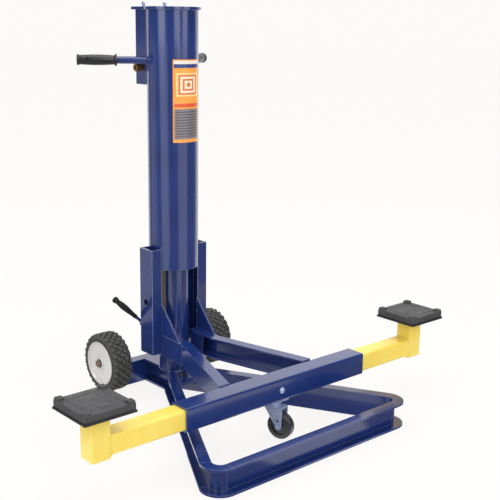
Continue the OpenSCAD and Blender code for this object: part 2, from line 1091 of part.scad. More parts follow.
// The caster wheel: a rounded tread on a wheel body with a recess in each face
module caster_wheel() {
    half = caster_w / 2;
    color(dark)
        at_swivel()
            translate([0, -caster_trail, caster_z])
                rotate([0, 90, 0])
                    difference() {
                        rotate_extrude() {
                            translate([0, -half])
                                square([caster_r - tread_r, caster_w]);
                            translate([0, -half + tread_r])
                                square([caster_r, caster_w - 2 * tread_r]);
                            for (y = sides)
                                translate([caster_r - tread_r, y * (half - tread_r)])
                                    circle(r = tread_r);
                        }
                        for (y = [-half - over, half - recess])
                            translate([0, 0, y])
                                ring(caster_r - tread_w, caster_hub_r, recess + over);
                        translate([0, 0, -half - over])
                            cylinder(r = caster_axle_r + hole_slack, h = caster_w + 2 * over);
                    }
}

// An arm: a square tube that slides in the beam, welded to an upright post
module arm_shape() {
    post_in = pad_x - inner_w / 2;
    corner = beam_corner - 2;
    translate([-post_in, -beam_y, beam_z])
        rotate([90, 0, 90])
            linear_extrude(post_in - arm_in)
                tube_section(inner_w, tube_t, corner);
    translate([-pad_x, -beam_y, post_z]) {
        linear_extrude(post_h)
            tube_section(inner_w, tube_t, corner);
        linear_extrude(tube_t)
            round_square(inner_w, corner);
    }
}

module arm_left() {
    color(yellow)
        on_side(-1)
            arm_shape();
}

module arm_right() {
    color(yellow)
        on_side(1)
            arm_shape();
}

// Puts a copy at each of a pad's four bolts
module at_pad_bolts() {
    for (x = sides, y = sides)
        translate([-pad_x + x * pad_bolt_x, -beam_y + y * pad_bolt_x, 0])
            children();
}

// The steel plate under a pad
module seat_shape() {
    difference() {
        translate([-pad_x - pad_w / 2, -beam_y - pad_w / 2, post_top])
            cube([pad_w, pad_w, seat_t]);
        at_pad_bolts()
            translate([0, 0, post_top - over])
                cylinder(r = pad_bolt_r + hole_slack, h = seat_t + 2 * over);
    }
}

module seat_left() {
    color(dark)
        on_side(-1)
            seat_shape();
}

module seat_right() {
    color(dark)
        on_side(1)
            seat_shape();
}

// A square rubber pad with a raised block at each corner
module pad_shape() {
    difference() {
        union() {
            translate([-pad_x - rubber_w / 2, -beam_y - rubber_w / 2, seat_z])
                cube([rubber_w, rubber_w, pad_h]);
            for (x = sides, y = sides)
                translate([-pad_x + x * (rubber_w - nub_w) / 2, -beam_y + y * (rubber_w - nub_w) / 2, seat_z])
                    translate([-nub_w / 2, -nub_w / 2, 0])
                        cube([nub_w, nub_w, pad_h + nub_h]);
        }
        at_pad_bolts()
            translate([0, 0, seat_z - over])
                cylinder(r = pad_bolt_r + hole_slack, h = pad_bolt_in + over);
    }
}

module pad_left() {
    color(dark)
        on_side(-1)
            pad_shape();
}

module pad_right() {
    color(dark)
        on_side(1)
            pad_shape();
}

// The bolts that hold a pad on its plate from below
module pad_bolt_shape() {
    at_pad_bolts() {
        translate([0, 0, post_top - pad_bolt_head])
            cylinder(d = pad_bolt_wide, h = pad_bolt_head, $fn = 6);
        translate([0, 0, post_top - over])
            cylinder(r = pad_bolt_r, h = seat_t + pad_bolt_in + over);
    }
}

module pad_bolts_left() {
    color(steel)
        on_side(-1)
            pad_bolt_shape();
}

module pad_bolts_right() {
    color(steel)
        on_side(1)
            pad_bolt_shape();
}

// Draws a piece about the lever's pivot
module at_pivot() {
    at_mast()
        translate([-pivot_x, 0, pivot_z])
            children();
}

// The pawl: its tip stays inside a circle that clears the rack
module pawl() {
    color(steel)
        at_pivot()
            difference() {
                union() {
                    rod_y(eye_hub_r, pawl_y0, pawl_y1);
                    intersection() {
                        rod_y(pawl_r, pawl_y0, pawl_y1);
                        span([0, pawl_y0, -pawl_half_h], [pawl_r, pawl_y1, pawl_half_h]);
                    }
                }
                rod_y(pin_r + hole_slack, pawl_y0 - over, pawl_y1 + over);
            }
}

module lever_pin() {
    color(steel)
        at_pivot()
            rod_y(pin_r, pin_start, lever_y + pin_tip);
}

// The lever: an eye on the pin and a round bar that rises outwards
module lever() {
    color(navy)
        at_pivot()
            difference() {
                union() {
                    rod_y(eye_hub_r, chan_half + king_gap, lever_y + lever_eye);
                    translate([0, lever_y, 0])
                        rotate([0, lever_angle, 0])
                            rod_x(lever_r, -lever_len, 0);
                }
                rod_y(pin_r + hole_slack, chan_half, lever_y + pin_tip);
            }
}

module lever_grip() {
    color(dark)
        at_pivot()
            translate([0, lever_y, 0])
                rotate([0, lever_angle, 0])
                    difference() {
                        rod_x(lever_grip_r, -lever_len - lever_grip_end, -lever_grip_at);
                        rod_x(lever_r + hole_slack, -lever_len - hole_slack, -lever_grip_at + over);
                    }
}

front_bar();
corner_left();
corner_right();
leg_left();
leg_right();
rear_tube();
foot_plate();
axle_ears();
axle_pins();
axle_nuts();
ram_tube();
foot_bolts();
rack_bar();
piston();
piston_seals();
tyre_left();
tyre_right();
hub_left();
hub_right();
bearings_left();
bearings_right();
mast_tube();
cap_plate();
eye_bolts();
guide_ring();
rear_box();
air_pipe();
air_fitting();
handle_left();
handle_right();
grip_left();
grip_right();
label_plate();
channel_left();
channel_right();
gussets();
fork_left();
fork_right();
stiffeners();
beam();
beam_bolt();
caster_plate();
caster_fork();
caster_axle();
caster_wheel();
arm_left();
arm_right();
seat_left();
seat_right();
pad_left();
pad_right();
pad_bolts_left();
pad_bolts_right();
pawl();
lever_pin();
lever();
lever_grip();
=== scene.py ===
"""Looks for the air-operated bumper lift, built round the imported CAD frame.

Metres. X runs along the cross beam, the pads are towards -Y, Z is up.
"""

import json
import math
import random

import bmesh
import bpy
from mathutils import Matrix, Vector


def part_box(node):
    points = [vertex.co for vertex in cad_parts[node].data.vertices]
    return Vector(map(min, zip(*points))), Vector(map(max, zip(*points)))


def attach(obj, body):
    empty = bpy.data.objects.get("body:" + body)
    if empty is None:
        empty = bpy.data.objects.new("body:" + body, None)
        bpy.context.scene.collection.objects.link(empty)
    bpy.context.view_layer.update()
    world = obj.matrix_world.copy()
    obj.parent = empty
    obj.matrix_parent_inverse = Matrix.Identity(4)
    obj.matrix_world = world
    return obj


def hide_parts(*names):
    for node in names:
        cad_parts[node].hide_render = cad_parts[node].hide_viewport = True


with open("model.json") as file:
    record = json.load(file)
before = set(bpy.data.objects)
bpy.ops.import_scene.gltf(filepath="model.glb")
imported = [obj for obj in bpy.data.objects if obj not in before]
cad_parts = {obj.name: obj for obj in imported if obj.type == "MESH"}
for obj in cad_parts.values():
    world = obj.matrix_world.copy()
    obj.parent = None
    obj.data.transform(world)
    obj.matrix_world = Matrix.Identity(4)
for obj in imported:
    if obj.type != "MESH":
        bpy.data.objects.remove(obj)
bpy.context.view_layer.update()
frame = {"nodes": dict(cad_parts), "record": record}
NODES = frame["nodes"]
random.seed(7)


# ---------------------------------------------------------------- places from the frame

def centre(node):
    """The middle of a CAD node's box."""
    low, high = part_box(node)
    return Vector([(a + b) / 2 for a, b in zip(low, high)])


MAST_LOW, MAST_HIGH = [Vector(c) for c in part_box("mast_tube")]
MAST = Vector(((MAST_LOW.x + MAST_HIGH.x) / 2, (MAST_LOW.y + MAST_HIGH.y) / 2, 0))
MAST_R = (MAST_HIGH.x - MAST_LOW.x) / 2
HANDLE_SWEEP = math.radians(33)
LEVER_ANGLE = math.radians(42.7)
LABEL_HALF_ANGLE = math.radians(36.6)
NUB_SIZE = 0.024
NUB_RISE = 0.007
BOLT_HEAD = 0.007
# What no CAD box gives: places of welds from the mast's axis, and half the arm's tube.
GUSSET_X = 0.0795
PAD_X = 0.679
ARM_HALF = 0.0318
FORK_END_OUT = 0.201
FORK_END_IN = 0.1605
FORK_BEND_X = 0.0822
FORK_BEND_Y = 0.1562
BOX_WELD_Y = 0.0558
TINY = 1e-6


# ---------------------------------------------------------------- material building

class Mat:
    """A small helper that adds nodes to one procedural material."""

    def __init__(self, name, rough=0.4, metal=0.0, coat=0.0):
        self.m = bpy.data.materials.new(name)
        self.m.use_nodes = True
        self.t = self.m.node_tree
        self.b = self.t.nodes["Principled BSDF"]
        self.b.inputs["Metallic"].default_value = metal
        self.b.inputs["Roughness"].default_value = rough
        self.b.inputs["Coat Weight"].default_value = coat
        self.b.inputs["Coat Roughness"].default_value = 0.08
        coord = self.t.nodes.new("ShaderNodeTexCoord")
        self.p = coord.outputs["Object"]

    def link(self, a, b):
        self.t.links.new(a, b)

    def noise(self, scale, detail=3.0, rough=0.5, stretch=None):
        """Noise of so many features a metre, at real scale."""
        n = self.t.nodes.new("ShaderNodeTexNoise")
        n.inputs["Scale"].default_value = scale
        n.inputs["Detail"].default_value = detail
        n.inputs["Roughness"].default_value = rough
        if stretch is None:
            self.link(self.p, n.inputs["Vector"])
        else:
            m = self.t.nodes.new("ShaderNodeMapping")
            m.inputs["Scale"].default_value = stretch
            self.link(self.p, m.inputs["Vector"])
            self.link(m.outputs["Vector"], n.inputs["Vector"])
        return n.outputs["Fac"]

    def ramp(self, value, stops):
        n = self.t.nodes.new("ShaderNodeValToRGB")
        e = n.color_ramp.elements
        while len(e) < len(stops):
            e.new(0.5)
        for k, (pos, col) in enumerate(stops):
            e[k].position = pos
            e[k].color = (*col, 1.0) if len(col) == 3 else col
        self.link(value, n.inputs["Fac"])
        return n.outputs["Color"]

    def band(self, value, low, high, a=0.0, b=1.0):
        """value from low..high turned into a..b, held at both ends."""
        n = self.t.nodes.new("ShaderNodeMapRange")
        n.clamp = True
        self.link(value, n.inputs["Value"])
        for key, v in (("From Min", low), ("From Max", high), ("To Min", a), ("To Max", b)):
            n.inputs[key].default_value = v
        return n.outputs["Result"]

    def math(self, op, a, b):
        n = self.t.nodes.new("ShaderNodeMath")
        n.operation = op
        for k, v in enumerate((a, b)):
            if isinstance(v, (int, float)):
                n.inputs[k].default_value = v
            else:
                self.link(v, n.inputs[k])
        return n.outputs["Value"]

    def mix(self, fac, a, b):
        n = self.t.nodes.new("ShaderNodeMix")
        n.data_type = "RGBA"
        for key, v in ((0, fac), (6, a), (7, b)):
            if isinstance(v, (int, float)):
                n.inputs[key].default_value = v
            elif isinstance(v, tuple):
                n.inputs[key].default_value = (*v, 1.0)
            else:
                self.link(v, n.inputs[key])
        return n.outputs[2]

    def axis(self, k):
        n = self.t.nodes.new("ShaderNodeSeparateXYZ")
        self.link(self.p, n.inputs["Vector"])
        return n.outputs[k]

    def edge(self, radius):
        """1 on an outside edge and 0 away from it, from the bevelled normal."""
        bev = self.t.nodes.new("ShaderNodeBevel")
        bev.samples = 4
        bev.inputs["Radius"].default_value = radius
        geo = self.t.nodes.new("ShaderNodeNewGeometry")
        dot = self.t.nodes.new("ShaderNodeVectorMath")
        dot.operation = "DOT_PRODUCT"
        self.link(bev.outputs["Normal"], dot.inputs[0])
        self.link(geo.outputs["Normal"], dot.inputs[1])
        return self.band(dot.outputs["Value"], 0.995, 0.80)

    def color(self, value):
        self.link(value, self.b.inputs["Base Color"])

    def rough(self, value):
        self.link(value, self.b.inputs["Roughness"])

    def metal(self, value):
        self.link(value, self.b.inputs["Metallic"])

    def bump(self, value, depth, strength=1.0, radius=0.0):
        """Bump of a real depth in metres, over edges rounded to a radius where one is given."""
        n = self.t.nodes.new("ShaderNodeBump")
        n.inputs["Distance"].default_value = depth
        n.inputs["Strength"].default_value = strength
        self.link(value, n.inputs["Height"])
        if radius:
            bev = self.t.nodes.new("ShaderNodeBevel")
            bev.samples = 4
            bev.inputs["Radius"].default_value = radius
            self.link(bev.outputs["Normal"], n.inputs["Normal"])
        self.link(n.outputs["Normal"], self.b.inputs["Normal"])


def srgb(r, g, b):
    """An 8-bit screen colour as linear light."""
    def one(v):
        v /= 255
        return v / 12.92 if v <= 0.04045 else ((v + 0.055) / 1.055) ** 2.4
    return (one(r), one(g), one(b))


def paint(name, main, deep, worn_and_highlight_colour, rough=0.3, coat=0.6, wear=0.55, edge_highlight_strength=0.0, radius=0.0016):
    """Glossy sprayed enamel: slight orange peel, colour drift, dust, rubbed edges, and a painted highlight
    on every edge, lighter the higher the last argument.
    """
    m = Mat(name, rough, 0.0, coat)
    drift = m.ramp(m.noise(9, 3), [(0.35, deep), (0.62, main)])
    rim = m.edge(0.0026)
    chips = m.math("MULTIPLY", rim, m.band(m.noise(130, 4, 0.65), 0.56, 0.66))
    # Painted highlight: every edge is lightened towards the pale wear colour, as an edge catching the light
    # would look; the chips below are real wear.
    edge_highlit_colour = m.mix(m.math("MULTIPLY", rim, edge_highlight_strength), drift, worn_and_highlight_colour)
    m.color(m.mix(m.math("MULTIPLY", chips, wear), edge_highlit_colour, worn_and_highlight_colour))
    haze = m.band(m.noise(28, 5, 0.6), 0.3, 0.75, rough - 0.04, rough + 0.06)
    scuffs = m.band(m.noise(300, 2, 0.5, (1.0, 1.0, 0.08)), 0.66, 0.74, 0.0, 0.03)
    m.rough(m.math("ADD", haze, scuffs))
    peel = m.math("ADD", m.noise(420, 2), m.math("MULTIPLY", m.noise(60, 2), 0.12))
    m.bump(peel, 0.00010, 0.25, radius)
    return m.m


def rubber(name, main, dust, rough=0.62, grain=900, depth=0.0002, radius=0.0015):
    """Moulded rubber: fine grain, grey dust in scattered patches and on scuffed edges."""
    m = Mat(name, rough)
    base = m.ramp(m.noise(22, 5, 0.62), [(0.3, main), (0.7, tuple(c * 1.5 for c in main))])
    scuffed = m.math("MULTIPLY", m.edge(0.003), m.band(m.noise(90, 4, 0.6), 0.42, 0.62))
    dusty = m.band(m.noise(170, 4, 0.7), 0.56, 0.72, 0.0, 0.35)
    m.color(m.mix(m.math("MAXIMUM", m.math("MULTIPLY", scuffed, 0.7), dusty), base, dust))
    m.rough(m.band(m.noise(45, 4), 0.3, 0.7, rough - 0.1, rough + 0.16))
    coarse = m.math("MULTIPLY", m.noise(grain / 7, 2), 0.6)
    m.bump(m.math("ADD", m.noise(grain, 3, 0.6), coarse), depth, 0.6, radius)
    return m.m


def bare_metal(name, main, dark, rough, stretch, scale=400, rust=None, metal=1.0, radius=0.0008):
    """Bare or plated metal: drawn or turned marks, stains and, where given, a trace of rust."""
    m = Mat(name, rough, metal)
    drawn = m.noise(scale, 4, 0.6, stretch)
    body = m.ramp(drawn, [(0.32, dark), (0.68, main)])
    stain = m.band(m.noise(35, 5, 0.65), 0.5, 0.72)
    body = m.mix(m.math("MULTIPLY", stain, 0.45), body, dark)
    if rust:
        spots = m.band(m.noise(85, 6, 0.7), 0.6, 0.7)
        body = m.mix(m.math("MULTIPLY", spots, 0.6), body, rust)
        m.metal(m.band(spots, 0.0, 1.0, metal, 0.25))
    m.color(body)
    m.rough(m.band(m.noise(60, 4), 0.3, 0.7, rough - 0.08, rough + 0.15))
    m.bump(m.math("ADD", drawn, m.noise(250, 2)), 0.00006, 0.5, radius)
    return m.m


def label_film():
    """A generic printed label in colour areas: no words, marks or flags."""
    m = Mat("label_film", 0.3, 0.0, 0.3)
    low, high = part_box("label_plate")
    x, y, z = m.axis(0), m.axis(1), m.axis(2)
    side = m.math("ARCTAN2", x, m.math("MULTIPLY", m.math("SUBTRACT", y, MAST.y), -1.0))
    across = m.band(side, -LABEL_HALF_ANGLE, LABEL_HALF_ANGLE)
    up = m.band(z, low[2], high[2])

    def within(v, a, b, soft=0.004):
        return m.math("MULTIPLY", m.band(v, a - soft, a + soft), m.band(v, b - soft, b + soft, 1.0, 0.0))

    def patch(col, x0, x1, y0, y1, under):
        return m.mix(m.math("MULTIPLY", within(across, x0, x1), within(up, y0, y1)), under, col)

    def nested(x0, x1, y0, y1, count, col_a, col_b, under):
        """Boxes inside one another, in two colours by turns."""
        for k in range(count):
            dx, dy = [0.5 * k / count * span for span in (x1 - x0, y1 - y0)]
            under = patch(col_a if k % 2 else col_b, x0 + dx, x1 - dx, y0 + dy, y1 - dy, under)
        return under

    field = m.ramp(m.noise(70, 2), [(0.35, srgb(246, 156, 56)), (0.65, srgb(250, 170, 72))])
    c = patch(srgb(236, 226, 222), 0.03, 0.97, 0.947, 0.985, field)
    c = patch(srgb(30, 60, 128), 0.03, 0.97, 0.90, 0.947, c)
    c = patch(srgb(252, 214, 150), 0.10, 0.90, 0.56, 0.84, c)
    c = nested(0.16, 0.84, 0.58, 0.82, 5, srgb(250, 232, 206), srgb(214, 118, 52), c)
    c = patch(srgb(222, 84, 40), 0.04, 0.96, 0.43, 0.475, c)
    c = patch(srgb(128, 122, 128), 0.04, 0.96, 0.04, 0.41, c)
    lines = m.math("SINE", m.math("MULTIPLY", up, 190.0), 0.0)
    block = m.math("MULTIPLY", within(across, 0.08, 0.92), within(up, 0.07, 0.39))
    rows = m.math("MULTIPLY", block, m.band(lines, 0.0, 0.3))
    c = m.mix(m.math("MULTIPLY", rows, 0.8), c, srgb(66, 60, 68))
    rub = m.band(m.noise(45, 5, 0.7), 0.62, 0.72, 0.0, 0.35)
    m.color(m.mix(rub, c, srgb(205, 190, 175)))
    m.rough(m.band(m.noise(90, 3), 0.3, 0.7, 0.24, 0.42))
    m.bump(m.noise(500, 2), 0.00005, 0.3)
    return m.m


# Navy paint: its pale wear colour also lightens every edge at half strength, a painted edge highlight.
NAVY = paint("navy_enamel", srgb(25, 49, 114), srgb(21, 43, 104), srgb(150, 158, 196), 0.22, 0.6, 0.5, 0.5)
# Navy paint with a strong painted edge highlight: every edge is lightened almost to white, standing in for
# edges catching the light.
NAVY_EDGE_HIGHLIT = paint("navy_enamel_painted_edge_highlights", srgb(25, 49, 114), srgb(21, 43, 104),
                    srgb(205, 208, 228), 0.22, 0.6, 0.3, 0.9)
YELLOW = paint("yellow_enamel", srgb(253, 228, 108), srgb(250, 218, 88), srgb(196, 168, 96), 0.34, 0.3, 0.6)
BLACK = paint("black_enamel", srgb(38, 38, 40), srgb(28, 28, 30), srgb(96, 94, 92), 0.42, 0.2)
WHITE = paint("white_enamel", srgb(214, 214, 213), srgb(200, 200, 199), srgb(170, 158, 146), 0.3, 0.4)
PAD_RUBBER = rubber("pad_rubber", srgb(54, 54, 57), srgb(86, 85, 86), 0.5, 800)
TYRE_RUBBER = rubber("tyre_rubber", srgb(58, 60, 59), srgb(118, 116, 110), 0.66, 700)
GRIP_RUBBER = rubber("grip_rubber", srgb(17, 20, 20), srgb(52, 55, 55), 0.30, 1100, 0.00006)
SEAL_RUBBER = rubber("seal_rubber", srgb(24, 24, 24), srgb(50, 50, 50), 0.4, 900)
STEEL = bare_metal("oiled_steel", srgb(128, 122, 116), srgb(78, 74, 70), 0.38, (1.0, 1.0, 0.05),
                   500, srgb(104, 72, 52))
TURNED = bare_metal("turned_steel", srgb(168, 150, 136), srgb(112, 96, 84), 0.4, (0.1, 1.0, 1.0),
                    600, srgb(112, 74, 50))
ZINC = bare_metal("zinc_plate", srgb(186, 200, 228), srgb(138, 152, 186), 0.42, (1.0, 1.0, 1.0),
                  120, None, 0.5)
BRASS = bare_metal("brass", srgb(214, 176, 104), srgb(120, 88, 40), 0.24, (0.1, 1.0, 1.0),
                   500, srgb(70, 48, 24), 1.0)
CASTER = rubber("caster_tread", srgb(44, 44, 50), srgb(110, 108, 112), 0.36, 600, 0.0001)
LABEL = label_film()

FINISH = {
    "navy_paint": NAVY, "yellow_paint": YELLOW, "black_paint": BLACK, "white_paint": WHITE,
    "pad_rubber": PAD_RUBBER, "tyre_rubber": TYRE_RUBBER, "grip_rubber": GRIP_RUBBER,
    "seal_rubber": SEAL_RUBBER, "bare_steel": STEEL, "brass": BRASS, "zinc_plate": ZINC,
    "caster_plastic": CASTER, "label": LABEL,
}
SLOT_OF = {s["node"]: s["material_slot"] for s in frame["record"]["subparts"]}


def finish_frame():
    """Gives every CAD node its material; the rounding of its edges is in the material."""
    for node, ob in NODES.items():
        mat = FINISH[SLOT_OF[node]]
        if node in ("axle_pins", "axle_nuts"):
            mat = TURNED
        if node == "eye_bolts":
            mat = ZINC
        if node == "foot_bolts":
            mat = BLACK
        # The gussets and side channels take the navy paint with the strong painted edge highlight.
        if node in ("gussets", "channel_left", "channel_right"):
            mat = NAVY_EDGE_HIGHLIT
        ob.data.materials.clear()
        ob.data.materials.append(mat)


# ---------------------------------------------------------------- mesh building

def add_piece(name, bm, mat, body):
    """Turns a bmesh in row coordinates into a smooth piece that rides on a body."""
    bmesh.ops.recalc_face_normals(bm, faces=bm.faces)
    me = bpy.data.meshes.new(name)
    bm.to_mesh(me)
    bm.free()
    me.shade_smooth()
    ob = bpy.data.objects.new(name, me)
    bpy.context.scene.collection.objects.link(ob)
    me.materials.append(mat)
    sharp = ob.modifiers.new("sharp", "EDGE_SPLIT")
    sharp.split_angle = math.radians(38)
    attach(ob, body)
    return ob


def swap(ob, *nodes):
    """The piece stands for these CAD nodes, which it hides."""
    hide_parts(*nodes)
    return ob


def ring_points(r, h, steps):
    """Points round a level circle of radius r at height h."""
    angles = [2 * math.pi * k / steps for k in range(steps)]
    return [Vector((r * math.cos(a), r * math.sin(a), h)) for a in angles]


def lathe(bm, profile, place, steps=96):
    """Turns (radius, height) points about local Z; place puts them in the row frame."""
    rows = []
    for r, h in profile:
        points = [Vector((0, 0, h))] if r < TINY else ring_points(r, h, steps)
        rows.append([bm.verts.new(place @ p) for p in points])
    for a, b in zip(rows, rows[1:]):
        for k in range(steps):
            n = (k + 1) % steps
            if len(a) == 1 and len(b) == 1:
                continue
            if len(a) == 1:
                bm.faces.new((a[0], b[k], b[n]))
            elif len(b) == 1:
                bm.faces.new((a[k], a[n], b[0]))
            else:
                bm.faces.new((a[k], a[n], b[n], b[k]))


def turn_to(origin, direction):
    """A placement whose Z runs along direction."""
    return Matrix.Translation(origin) @ Vector(direction).to_track_quat("Z", "Y").to_matrix().to_4x4()


def smoothstep(a, b, v):
    t = min(1.0, max(0.0, (v - a) / (b - a)))
    return t * t * (3 - 2 * t)


def tyre(side):
    """A knobbly tyre: staggered diamond lugs over the tread and down both shoulders."""
    node = f"tyre_{side}"
    low, high = [Vector(c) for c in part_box(node)]
    mid = (low + high) / 2
    outer = (high.z - low.z) / 2
    width = high.x - low.x
    hub_low, hub_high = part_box(f"hub_{side}")
    inner = (hub_high[2] - hub_low[2]) / 2 + 0.0005
    lug, lug_pitch, shoulder = 0.0074, 0.0145, 0.017
    lugs, around, across = 26, 520, 72
    bm = bmesh.new()
    rings = []
    for i in range(across + 1):
        s = i / across
        x = (s - 0.5) * width
        edge = width / 2 - abs(x)
        drop = shoulder - math.sqrt(max(0.0, shoulder ** 2 - max(0.0, shoulder - edge) ** 2))
        base = outer - lug - 0.5 * drop
        ring = []
        for k in range(around):
            a = 2 * math.pi * k / around
            u = a / (2 * math.pi) * lugs
            v = x / lug_pitch
            p = abs(((u + v / 2) % 1.0) - 0.5) * 2
            q = abs(((u - v / 2) % 1.0) - 0.5) * 2
            height = smoothstep(0.20, 0.36, p) * smoothstep(0.20, 0.36, q)
            r = base + lug * height * (1.0 if edge > 0.004 else 0.55)
            ring.append(bm.verts.new((mid.x + x, mid.y + r * math.cos(a), mid.z + r * math.sin(a))))
        rings.append(ring)
    wall = ((outer - 0.0150, 0.0), (outer - 0.0175, -0.0018), (outer - 0.024, -0.0022),
            (inner + 0.004, -0.0004), (inner, -0.0006), (inner, -0.008))
    for sgn, first in ((-1, rings[0]), (1, rings[-1])):
        prev = first
        x_edge = width / 2
        for r, dx in wall:
            ring = []
            for k in range(around):
                a = 2 * math.pi * k / around
                y, z = mid.y + r * math.cos(a), mid.z + r * math.sin(a)
                ring.append(bm.verts.new((mid.x + sgn * (x_edge + dx), y, z)))
            for k in range(around):
                n = (k + 1) % around
                bm.faces.new((prev[k], prev[n], ring[n], ring[k]))
            prev = ring
        if sgn < 0:
            near = prev
        else:
            for k in range(around):
                n = (k + 1) % around
                bm.faces.new((near[k], near[n], prev[n], prev[k]))
    for a, b in zip(rings, rings[1:]):
        for k in range(around):
            n = (k + 1) % around
            bm.faces.new((a[k], a[n], b[n], b[k]))
    swap(add_piece(f"knobbly_tyre_{side}", bm, TYRE_RUBBER, f"wheel_{side}"), node)


def wheel_disc(side):
    """A pressed steel wheel: rolled rim lip, dished disc, raised boss."""
    node = f"hub_{side}"
    low, high = [Vector(c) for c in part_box(node)]
    mid = (low + high) / 2
    sgn = -1 if side == "left" else 1
    width = high.x - low.x
    face = mid.x + sgn * width / 2
    place = turn_to((face, mid.y, mid.z), (-sgn, 0, 0))
    rim = (high.z - low.z) / 2 - 0.0002
    bm = bmesh.new()
    boss, bore = 0.0205, 0.0157
    dish = [(boss, 0.0003), (0.0215, 0.0012), (0.022, 0.0045), (0.026, 0.0072), (0.040, 0.0066),
            (0.058, 0.0052), (0.066, 0.0066), (0.0705, 0.0072)]
    lip = [(0.0735, 0.0045), (0.0755, 0.0012), (0.0775, 0.0003), (rim, 0.0014)]
    back = [(rim, width - 0.001), (rim - 0.0015, width - 0.0003), (rim - 0.004, width - 0.003),
            (rim - 0.0045, 0.014), (0.066, 0.0105), (0.030, 0.0110), (boss, 0.014), (boss, width - 0.0003)]
    hole = [(bore, width - 0.0003), (bore, 0.0003), (boss, 0.0003)]
    lathe(bm, dish + lip + back + hole, place, 128)
    bmesh.ops.remove_doubles(bm, verts=bm.verts, dist=TINY)
    swap(add_piece(f"wheel_disc_{side}", bm, WHITE, f"wheel_{side}"), node)


def rounded_box(bm, low, high, radius, segments=3, taper=0.0):
    """A box with rounded edges, drawn in where taper is given towards its top."""
    made = bmesh.ops.create_cube(bm, size=1.0)["verts"]
    for v in made:
        t = taper if v.co.z > 0 else 0.0
        v.co = Vector((low[i] + (v.co[i] + 0.5) * (high[i] - low[i]) for i in range(3)))
        v.co.x += t * (1 if v.co.x < (low[0] + high[0]) / 2 else -1)
        v.co.y += t * (1 if v.co.y < (low[1] + high[1]) / 2 else -1)
    edges = list({e for v in made for e in v.link_edges})
    bmesh.ops.bevel(bm, geom=edges, offset=radius, segments=segments, affect="EDGES", profile=0.6)


def pad(side):
    """A rubber pad: a thick square with a raised block at each corner, joined by low ribs."""
    node = f"pad_{side}"
    low, high = [Vector(c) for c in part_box(node)]
    deck = high.z - NUB_RISE
    bm = bmesh.new()
    rounded_box(bm, low, (high.x, high.y, deck), 0.0022)
    nub = NUB_SIZE
    for ix in (0, 1):
        for iy in (0, 1):
            x0 = low.x + 0.0006 if ix == 0 else high.x - nub - 0.0006
            y0 = low.y + 0.0006 if iy == 0 else high.y - nub - 0.0006
            rounded_box(bm, (x0, y0, low.z + 0.004), (x0 + nub, y0 + nub, high.z), 0.002, 3, 0.0012)
            x, y = x0 + nub / 2, y0 + nub / 2
            rounded_box(bm, (x - 0.009, y - 0.0016, deck), (x + 0.009, y + 0.0016, high.z), 0.0007, 1)
    inset, rib = 0.026, 0.0012
    for k in range(2):
        x = low.x + inset if k == 0 else high.x - inset
        near, far = (x - rib, low.y + nub, deck - 0.001), (x + rib, high.y - nub, deck + 0.0009)
        rounded_box(bm, near, far, 0.0005, 1)
        y = low.y + inset if k == 0 else high.y - inset
        near, far = (low.x + nub, y - rib, deck - 0.001), (high.x - nub, y + rib, deck + 0.0009)
        rounded_box(bm, near, far, 0.0005, 1)
    swap(add_piece(f"rubber_pad_{side}", bm, PAD_RUBBER, f"arm_{side}"), node)


def handle_grip(side):
    """A moulded grip, fuller in the middle, with a collar and a flared end cap.

    start and end are from the mast's axis, along the bar.
    """
    node = f"grip_{side}"
    sgn = -1 if side == "left" else 1
    low, high = [Vector(c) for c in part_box(node)]
    axis = Vector((sgn * math.cos(HANDLE_SWEEP), math.sin(HANDLE_SWEEP), 0))
    origin = Vector((MAST.x, MAST.y, (low.z + high.z) / 2))
    start, end = 0.189, 0.324
    place = turn_to(origin, axis)
    collar = [(0.0128, 0.0), (0.0200, 0.0), (0.0206, 0.0015), (0.0206, 0.0050), (0.0186, 0.0066),
              (0.0158, 0.009)]
    points = [(r, start + h) for r, h in collar]
    first, last = start + 0.012, end - 0.010
    steps = 60
    for k in range(steps + 1):
        t = k / steps
        swell = 0.0024 * math.sin(math.pi * t) ** 0.8
        points.append((0.0156 + swell, first + t * (last - first)))
    cap = [(0.0176, 0.0085), (0.0182, 0.007), (0.0182, 0.003), (0.0172, 0.0008), (0.014, 0.0002),
           (0.006, 0.0003), (0.0, 0.0003)]
    points += [(r, end - h) for r, h in cap]
    bm = bmesh.new()
    lathe(bm, points, place, 64)
    swap(add_piece(f"handle_grip_{side}", bm, GRIP_RUBBER, "carriage"), node)


def lever_parts():
    """The lever's bulged grip with its end knob; start is from the lever's pin."""
    low, high = [Vector(c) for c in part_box("lever_grip")]
    pin = centre("lever_pin")
    axis = Vector((-math.cos(LEVER_ANGLE), 0, math.sin(LEVER_ANGLE)))
    origin = Vector((pin.x, (low.y + high.y) / 2, pin.z))
    start = 0.045
    spec = [(0.0062, 0.0), (0.0078, 0.0), (0.0082, 0.002), (0.0080, 0.012), (0.0086, 0.022),
            (0.0102, 0.040), (0.0114, 0.056), (0.0117, 0.066), (0.0113, 0.078), (0.0098, 0.094),
            (0.0086, 0.104), (0.0086, 0.107), (0.0108, 0.109), (0.0116, 0.111), (0.0118, 0.1165),
            (0.0112, 0.1195), (0.0080, 0.1205), (0.0, 0.1207)]
    points = []
    for (r0, h0), (r1, h1) in zip(spec, spec[1:]):
        points.append((r0, start + h0))
        if h1 - h0 > 0.006:
            points.append(((r0 + r1) / 2, start + (h0 + h1) / 2))
    points.append((spec[-1][0], start + spec[-1][1]))
    bm = bmesh.new()
    lathe(bm, points, turn_to(origin, axis), 48)
    ob = add_piece("lever_handgrip", bm, GRIP_RUBBER, "lock_lever")
    swap(ob, "lever_grip")


